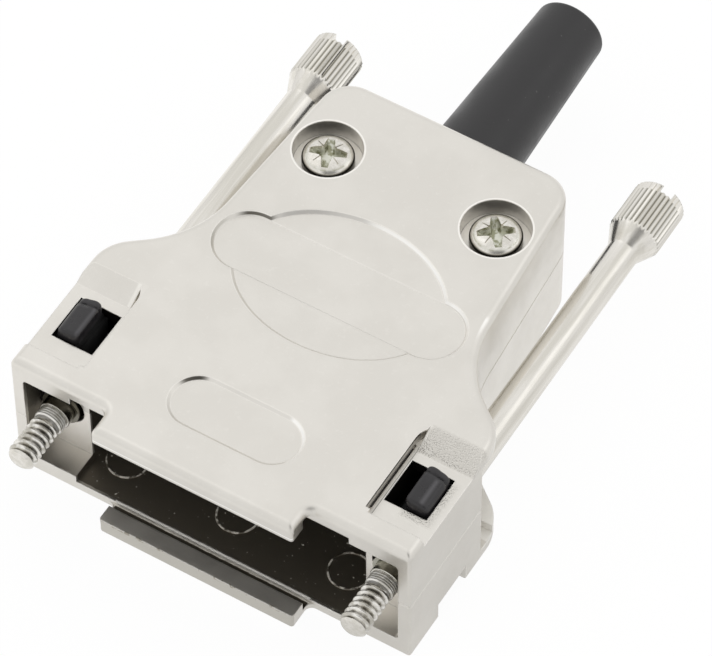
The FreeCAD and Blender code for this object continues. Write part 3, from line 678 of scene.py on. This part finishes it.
def jackscrewProfile(values):
    r, shank = values["threadRadius"], values["shankRadius"]
    tip, rear = values["tipY"], values["threadRearY"]
    profile = [(0.45, tip), (0.78, tip), (0.84, tip + 0.02), (values["tipRadius"], tip + 0.04)]
    threadFront = tip + values["tipChamfer"]
    profile += [(values["tipRadius"] + (r - values["tipRadius"]) * t, y)
                for t, y in zip(steps(0.1, 1, 7), steps(tip + 0.06, threadFront, 7))]
    relief, reliefRear = values["reliefRadius"], values["reliefRearY"]
    profile += [(r, y) for y in steps(threadFront + 0.03, rear - 0.35, 120)]
    profile += [(r + (relief - r) * t, rear - 0.35 + 0.34 * t) for t in steps(0.1, 1, 10)]
    collar, collarRear = values["collarRadius"], values["collarRearY"]
    profile += [(relief, rear + 0.02), (relief, reliefRear), (collar - 0.06, reliefRear + 0.06)]
    profile.append((collar, reliefRear + 0.12))
    for y in values["collarLines"]:
        profile += [(collar, y - 0.04), (collar - values["lineDepth"], y), (collar, y + 0.04)]
    profile += [(collar, collarRear - 0.1), (collar - 0.05, collarRear - 0.04)]
    profile += [(collar - 0.05, collarRear), (shank - 0.06, collarRear + 0.02), (shank, collarRear + 0.08)]
    for front, back, radius in (values["ringGroove"], values["neck"]):
        profile += [(shank, front), (radius, front + 0.01), (radius, back - 0.01), (shank, back)]
    profile += [(shank, y) for y in (11, 14, 18, 24, 30, 36, 40)]
    cone, knurl, knob = values["coneY"], values["knurlY"], values["knobRadius"]
    profile += [(shank, cone - 0.04)]
    profile += [(shank + (knob - shank) * t, cone + (knurl - cone) * t) for t in steps(0.02, 1, 22)]
    end, chamfer = values["knobEndY"], values["knobChamfer"]
    profile += [(knob, y) for y in steps(knurl + 0.3, end - chamfer, 5)]
    profile += [(knob - chamfer * t, end - chamfer * (1 - t)) for t in steps(0.2, 1, 4)]
    profile += [(knob - chamfer - 0.5, end), (0.8, end)]
    return profile


def buildJackscrews(values):
    tree = jackscrewTree()
    for side, sign in (("left", -1), ("right", 1)):
        rod = lathe("jackscrew", jackscrewProfile(values), values["columns"])
        thing = newObject("jackscrew_" + side, rod)
        runTree(thing, tree, {
            "Pitch": values["pitch"] * mm, "Thread Radius": values["threadRadius"] * mm,
            "Thread Depth": values["threadDepth"] * mm, "Thread Front": values["tipY"] * mm + 0.00001,
            "Thread Rear": values["threadRearY"] * mm, "Teeth": float(values["teeth"]),
            "Knob Radius": values["knobRadius"] * mm, "Tooth Depth": values["toothDepth"] * mm,
            "Knurl Front": values["coneY"] * mm, "Material": turned,
        })
        end, half = values["knobEndY"], values["slotWidth"] / 2
        slot = boxMesh("slot", (-4, end - values["slotDepth"], -half), (4, end + 1, half))
        cutAway(thing, [newObject("slot", slot)])
        spin = Matrix.Rotation(math.radians(values["slotTurn"][side]), 4, "Y")
        thing.data.transform(Matrix.Translation((sign * values["screwX"] * mm, 0, 0)) @ spin)
        smoothUpTo(thing, values["smoothAngle"])
        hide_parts("thumbscrew_" + side)
        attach(thing, "jackscrew_" + side)
        print("jackscrew", side, "made:", len(thing.data.polygons), "faces")


buildJackscrews(jackscrew)


# Case screws: pan heads with a cross recess, set in the two counterbores

upright = Matrix(((1, 0, 0, 0), (0, 0, 1, 0), (0, 1, 0, 0), (0, 0, 0, 1)))  # swaps y and z

caseScrew = {
    "x": 8.545, "y": 33.48, "seatZ": 5.6,
    "headRadius": 2.375, "headHeight": 1.6, "headSide": 0.8,
    "shankRadius": 1.3, "length": 8.5,
    "armLength": 1.95, "armWidth": 1.25, "recessDepth": 1.0, "pitRadius": 0.95, "pitFloor": 0.5,
    "tickLength": 1.95, "tickWidth": 0.16,
    "turnLeft": 20.0, "turnRight": 37.0, "smoothAngle": 30,
}


def taperedBar(name, length, width, depth, top, angle, floorShare=0.5):
    # a bar that narrows and shortens towards its floor, for the arms of the recess
    form = bmesh.new()
    corners = []
    outline = ((-1, -0.5), (0, -1), (1, -0.5), (1, 0.5), (0, 1), (-1, 0.5))
    for height, share in ((top + 0.5, 1.2), (top - depth, floorShare)):
        for sx, sy in outline:
            place = (sx * length * share, sy * width / 2 * (0.3 + 0.7 * share), height)
            corners.append(form.verts.new([value * mm for value in place]))
    up, down = corners[:6], corners[6:]
    form.faces.new(up)
    form.faces.new(down[::-1])
    for step in range(6):
        after = (step + 1) % 6
        form.faces.new((up[after], up[step], down[step], down[after]))
    bmesh.ops.recalc_face_normals(form, faces=form.faces)
    mesh = bpy.data.meshes.new(name)
    form.to_mesh(mesh)
    form.free()
    mesh.transform(Matrix.Rotation(math.radians(angle), 4, "Z"))
    return newObject(name, mesh)


def caseScrewTree():
    labels = {"Spacing": "Float", "Seat Y": "Float", "Turn Left": "Float", "Turn Right": "Float",
              "Material": "Material"}
    tree, given = newTree("setCaseScrews", labels)
    first = calc(tree, "MULTIPLY", given["Spacing"], -0.5)
    start = addNode(tree, "ShaderNodeCombineXYZ", {"X": first, "Y": given["Seat Y"]}).outputs[0]
    offset = addNode(tree, "ShaderNodeCombineXYZ", {"X": given["Spacing"]}).outputs[0]
    inputs = {"Count": 2, "Start Location": start, "Offset": offset}
    line = addNode(tree, "GeometryNodeMeshLine", inputs).outputs[0]
    index = addNode(tree, "GeometryNodeInputIndex").outputs[0]
    difference = calc(tree, "SUBTRACT", given["Turn Right"], given["Turn Left"])
    turn = calc(tree, "MULTIPLY_ADD", index, difference, given["Turn Left"])
    spin = addNode(tree, "ShaderNodeCombineXYZ", {"Z": turn}).outputs[0]
    inputs = {"Points": line, "Instance": given["Geometry"], "Rotation": spin}
    placed = addNode(tree, "GeometryNodeInstanceOnPoints", inputs).outputs[0]
    closeTree(tree, placed, given["Material"])
    return tree


def buildCaseScrews(values):
    seat, radius, height = values["seatZ"], values["headRadius"], values["headHeight"]
    side, shank, end = values["headSide"], values["shankRadius"], values["seatZ"] - values["length"]
    profile = [(0.3, end), (shank - 0.35, end), (shank, end + 0.35)]
    profile += [(shank, seat - 0.05), (shank + 0.05, seat)]
    profile += [(radius - 0.08, seat), (radius, seat + 0.08), (radius, seat + side)]
    for t in steps(5, 90, 16):
        turn = math.radians(t)
        profile.append((radius * math.cos(turn) ** 0.8, seat + side + (height - side) * math.sin(turn)))
    profile = [(max(r, 0.12), y) for r, y in profile]
    mesh = lathe("caseScrew", profile, 96)
    mesh.transform(upright)
    mesh.flip_normals()
    thing = newObject("case_screws", mesh)
    top = seat + height
    cutters = [taperedBar("arm", values["armLength"], values["armWidth"], values["recessDepth"], top, angle)
               for angle in (0, 90)]
    cutters += [taperedBar("tick", values["tickLength"], values["tickWidth"], 0.28, top, angle, 0.75)
                for angle in (45, 135)]
    floor = top - values["recessDepth"]
    pit = lathe("pit", [(values["pitFloor"], floor), (values["pitRadius"], top + 0.2)], 48)
    pit.transform(upright)
    pit.flip_normals()
    cutters.append(newObject("pit", pit))
    cutAway(thing, cutters)
    runTree(thing, caseScrewTree(), {
        "Spacing": 2 * values["x"] * mm, "Seat Y": values["y"] * mm,
        "Turn Left": math.radians(values["turnLeft"]), "Turn Right": math.radians(values["turnRight"]),
        "Material": headNickel,
    })
    smoothUpTo(thing, values["smoothAngle"])
    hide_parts("case_screw_left", "case_screw_right")
    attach(thing, "hood")
    print("case screws made:", len(thing.data.polygons), "faces")


buildCaseScrews(caseScrew)


# Clips: the pressed-down tail of each stays as modelled, and its cap is a soft pillow with a small tab

clip = {
    "inner": 16.27, "outer": 18.52, "front": 4.9, "bodyRear": 8.42, "tabRear": 9.18,
    "cutZ": 5.95, "floorZ": 5.2, "frontTop": 7.36, "rearTop": 7.44, "tabTop": 7.46,
    "innerRound": 0.34, "outerRound": 0.74, "endDepth": 0.55, "endDrop": 0.86, "fall": 0.22,
    "frontCorner": 0.58, "rearCorner": 0.42, "grooveDepth": 0.12,
    # the tab's rear end: how far from it, and how low the top is there
    "tabEnd": ((0.66, 0.05), (0.6, 0), (0.3, 0), (0.2, 0.02), (0.12, 0.06), (0.06, 0.13), (0.0, 0.26)),
    # |x|, y and z of the box that takes the CAD clip's own top off
    "cutX": (15.0, 19.5), "cutY": (3.5, 10.5), "cutTop": 9.0,
    "smoothAngle": 40,
}


def capSection(values, y, top, inset):
    # one rib of the cap, from the inner foot over the top to the outer foot
    inner, outer = values["inner"] + inset, values["outer"] - inset
    floor, fall = values["floorZ"], values["fall"]
    inRound, outRound = values["innerRound"], values["outerRound"]
    rib = [(inner, floor)]
    for turn in steps(180, 90, 6):
        angle = math.radians(turn)
        rib.append((inner + inRound + inRound * math.cos(angle), top - inRound + inRound * math.sin(angle)))
    left, right = inner + inRound, outer - outRound
    for t in steps(0.15, 0.85, 5):
        rib.append((left + (right - left) * t, top - fall * t * t))
    for turn in steps(84, 0, 9):
        angle = math.radians(turn)
        rib.append((right + outRound * math.cos(angle), top - fall - outRound + outRound * math.sin(angle)))
    rib.append((outer, floor))
    return [(x * mm, y * mm, z * mm) for x, z in rib]


def cornerInset(radius, fromEnd):
    # how far a rounded corner steps in at this distance from the end
    if fromEnd >= radius:
        return 0.0
    return radius - math.sqrt(radius ** 2 - (radius - fromEnd) ** 2)


def capRibs(values):
    front, rear, tabRear, depth = (values[key] for key in ("front", "bodyRear", "tabRear", "endDepth"))
    slope = (values["rearTop"] - values["frontTop"]) / (rear - front)
    ribs = []
    for turn in steps(0, 90, 9):
        angle = math.radians(turn)
        y = front + depth * (1 - math.cos(angle))
        drop = values["endDrop"] * (1 - math.sin(angle))
        inset = cornerInset(values["frontCorner"], y - front)
        ribs.append(capSection(values, y, values["frontTop"] + slope * (y - front) - drop, inset))
    for y in steps(front + depth + 0.2, rear - 0.1, 6):
        ribs.append(capSection(values, y, values["frontTop"] + slope * (y - front), 0))
    # a fine groove, then the tab
    low = values["rearTop"] - values["grooveDepth"]
    ribs += [capSection(values, rear - 0.03, low, 0.04), capSection(values, rear + 0.05, low, 0.06)]
    for fromEnd, drop in values["tabEnd"]:
        inset = 0.05 + cornerInset(values["rearCorner"], fromEnd)
        ribs.append(capSection(values, tabRear - fromEnd, values["tabTop"] - drop, inset))
    return ribs


def buildCap(values, sign):
    form = bmesh.new()
    ribs = [[form.verts.new((sign * x, y, z)) for x, y, z in rib] for rib in capRibs(values)]
    for lower, upper in zip(ribs, ribs[1:]):
        for step in range(len(lower)):
            after = (step + 1) % len(lower)
            form.faces.new((lower[step], lower[after], upper[after], upper[step]))
    form.faces.new(ribs[0])
    form.faces.new(ribs[-1][::-1])
    bmesh.ops.recalc_face_normals(form, faces=form.faces)
    mesh = bpy.data.meshes.new("clipCap")
    form.to_mesh(mesh)
    form.free()
    return newObject("clipCap", mesh)


def mergedCopy(node, name):
    form = bmesh.new()
    form.from_mesh(nodes[node].data)
    bmesh.ops.remove_doubles(form, verts=form.verts, dist=0.001 * mm)
    mesh = bpy.data.meshes.new(name)
    form.to_mesh(mesh)
    form.free()
    return newObject(name, mesh)


def buildClips(values):
    for side, sign in (("left", -1), ("right", 1)):
        thing = mergedCopy("clip_" + side, "screw_clip_" + side)
        near, far = sorted(sign * x for x in values["cutX"])
        front, rear = values["cutY"]
        above = boxMesh("above", (near, front, values["cutZ"]), (far, rear, values["cutTop"]))
        cutAway(thing, [newObject("above", above)])
        joinOn(thing, buildCap(values, sign))
        thing.data.materials.clear()
        thing.data.materials.append(blackClip)
        smoothUpTo(thing, values["smoothAngle"])
        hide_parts("clip_" + side)
        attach(thing, "hood")
        print("clip", side, "made:", len(thing.data.polygons), "faces")


buildClips(clip)


# Floor, light and background

studio = {
    "floorZ": -7.5, "floorSize": 1.6,
    "floorTone": (0.80, 0.795, 0.785, 1), "floorPaleTone": (0.82, 0.815, 0.805, 1),
    "floorWhite": 1.02,
    "shadowShare": 0.07, "glossShadowShare": 0.35,
    "leftGlow": 1.25, "rightGlow": 0.72, "glowSpread": 60.0, "rearGlow": 1.32, "rearGlowY": (14.0, 27.0),
    "roomLight": 0.93,
    "glossLight": 0.95, "horizonLight": 0.85,
    "darkSide": (0.38, -0.48, 0.79), "darkSideLight": 0.3,
    "lamps": (
        {"name": "keyLamp", "place": (-0.40, 0.10, 0.60), "size": 0.45, "power": 0.12},
        {"name": "fillLamp", "place": (0.45, 0.40, 0.50), "size": 0.35, "power": 0.09},
    ),
}


def backdropRays(tree):
    rays = addNode(tree, "ShaderNodeLightPath").outputs
    shiny = calc(tree, "MAXIMUM", rays["Is Glossy Ray"], rays["Is Transmission Ray"])
    return rays["Is Camera Ray"], shiny


def buildFloor(values):
    half = values["floorSize"] / 2
    mesh = bpy.data.meshes.new("floor")
    corners = [(-half, -half, 0), (half, -half, 0), (half, half, 0), (-half, half, 0)]
    mesh.from_pydata(corners, [], [(0, 1, 2, 3)])
    mesh.transform(Matrix.Translation((0, 0, values["floorZ"] * mm)))
    floor = newObject("floor", mesh)
    material, tree, shader, place = newMaterial("paleFloor", {"Roughness": 0.9, "Specular IOR Level": 0.1})
    cloudy = ramp(tree, noise(tree, place, 0.02, 3), 0.3, 0.7)
    tone = mixColor(tree, cloudy, values["floorTone"], values["floorPaleTone"])
    feed(tree, tone, shader.inputs["Base Color"])
    # seen directly or in metal the floor is white, with a share of its shadow left
    camera, shiny = backdropRays(tree)
    share = calc(tree, "MULTIPLY", camera, 1 - values["shadowShare"])
    share = calc(tree, "MULTIPLY_ADD", shiny, 1 - values["glossShadowShare"], share)
    # metal sees the floor brighter on the left of the object than on its right
    xyz = addNode(tree, "ShaderNodeSeparateXYZ", {"Vector": place}).outputs
    spread = values["glowSpread"] * mm
    glow = ramp(tree, xyz[0], -spread, spread, values["leftGlow"], values["rightGlow"])
    front, rear = (y * mm for y in values["rearGlowY"])
    glow = calc(tree, "MULTIPLY", glow, ramp(tree, xyz[1], front, rear, 1.0, values["rearGlow"]))
    glow = calc(tree, "MINIMUM", glow, values["leftGlow"])
    strength = calc(tree, "MULTIPLY_ADD", shiny, calc(tree, "SUBTRACT", glow, values["floorWhite"]),
                    values["floorWhite"])
    white = addNode(tree, "ShaderNodeEmission", {"Strength": strength}).outputs[0]
    blend = addNode(tree, "ShaderNodeMixShader", {0: share, 1: shader.outputs[0], 2: white}).outputs[0]
    feed(tree, blend, tree.nodes["Material Output"].inputs["Surface"])
    mesh.materials.append(material)


def buildWorld(values):
    world = bpy.data.worlds.new("studio")
    bpy.context.scene.world = world
    world.use_nodes = True
    tree = world.node_tree
    background = tree.nodes["Background"]
    direction = addNode(tree, "ShaderNodeTexCoord").outputs["Generated"]
    up = addNode(tree, "ShaderNodeSeparateXYZ", {"Vector": direction}).outputs[2]
    gloss = ramp(tree, up, -0.05, 0.6, values["horizonLight"], values["glossLight"])
    inputs = {0: direction, 1: values["darkSide"]}
    toDark = addNode(tree, "ShaderNodeVectorMath", inputs, operation="DOT_PRODUCT").outputs["Value"]
    dark = ramp(tree, toDark, 0.88, 0.975)
    gloss = calc(tree, "MULTIPLY_ADD", dark, calc(tree, "SUBTRACT", values["darkSideLight"], gloss), gloss)
    camera, shiny = backdropRays(tree)
    light = calc(tree, "SUBTRACT", gloss, values["roomLight"])
    light = calc(tree, "MULTIPLY_ADD", shiny, light, values["roomLight"])
    light = calc(tree, "MULTIPLY_ADD", camera, calc(tree, "SUBTRACT", 1.0, light), light)
    feed(tree, light, background.inputs["Strength"])
    background.inputs["Color"].default_value = (1, 1, 1, 1)


def buildLamps(values):
    aim = Vector((0, 0.02, 0))
    for lamp in values["lamps"]:
        data = bpy.data.lights.new(lamp["name"], "AREA")
        data.shape = "DISK"
        data.size = lamp["size"]
        data.energy = lamp["power"]
        thing = newObject(lamp["name"], data)
        thing.location = lamp["place"]
        thing.rotation_euler = (aim - thing.location).to_track_quat("-Z", "Y").to_euler()


buildFloor(studio)
buildWorld(studio)
buildLamps(studio)
print("floor, world and lamps made")


# Camera, set to the photograph's viewing angle

cameraView = {
    "azimuth": 31.6468, "elevation": 53.4210, "roll": -0.51327,
    "focalPixels": 5264.58, "frameWidth": 712, "frameHeight": 656,
    "originPixel": (209.5464, 508.3123), "pixelsPerMm": 11.748872,
}


def buildCamera(values):
    a, e, roll = (math.radians(values[key]) for key in ("azimuth", "elevation", "roll"))
    forward = Vector((-math.sin(a) * math.cos(e), math.cos(a) * math.cos(e), -math.sin(e)))
    right = Vector((math.cos(a), math.sin(a), 0))
    up = right.cross(forward)
    right, up = right * math.cos(roll) + up * math.sin(roll), up * math.cos(roll) - right * math.sin(roll)
    away = values["focalPixels"] / values["pixelsPerMm"]
    offX = (values["originPixel"][0] - values["frameWidth"] / 2) / values["pixelsPerMm"]
    offY = (values["frameHeight"] / 2 - values["originPixel"][1]) / values["pixelsPerMm"]
    place = (-offX * right - offY * up - away * forward) * mm
    data = bpy.data.cameras.new("photoView")
    data.lens = data.sensor_width * values["focalPixels"] / values["frameWidth"]
    data.clip_start, data.clip_end = 0.01, 10
    camera = newObject("photoView", data)
    camera.matrix_world = Matrix((
        (right.x, up.x, -forward.x, place.x),
        (right.y, up.y, -forward.y, place.y),
        (right.z, up.z, -forward.z, place.z),
        (0, 0, 0, 1),
    ))
    bpy.context.scene.camera = camera


buildCamera(cameraView)
bpy.context.scene.view_settings.view_transform = "Standard"
print("camera set")
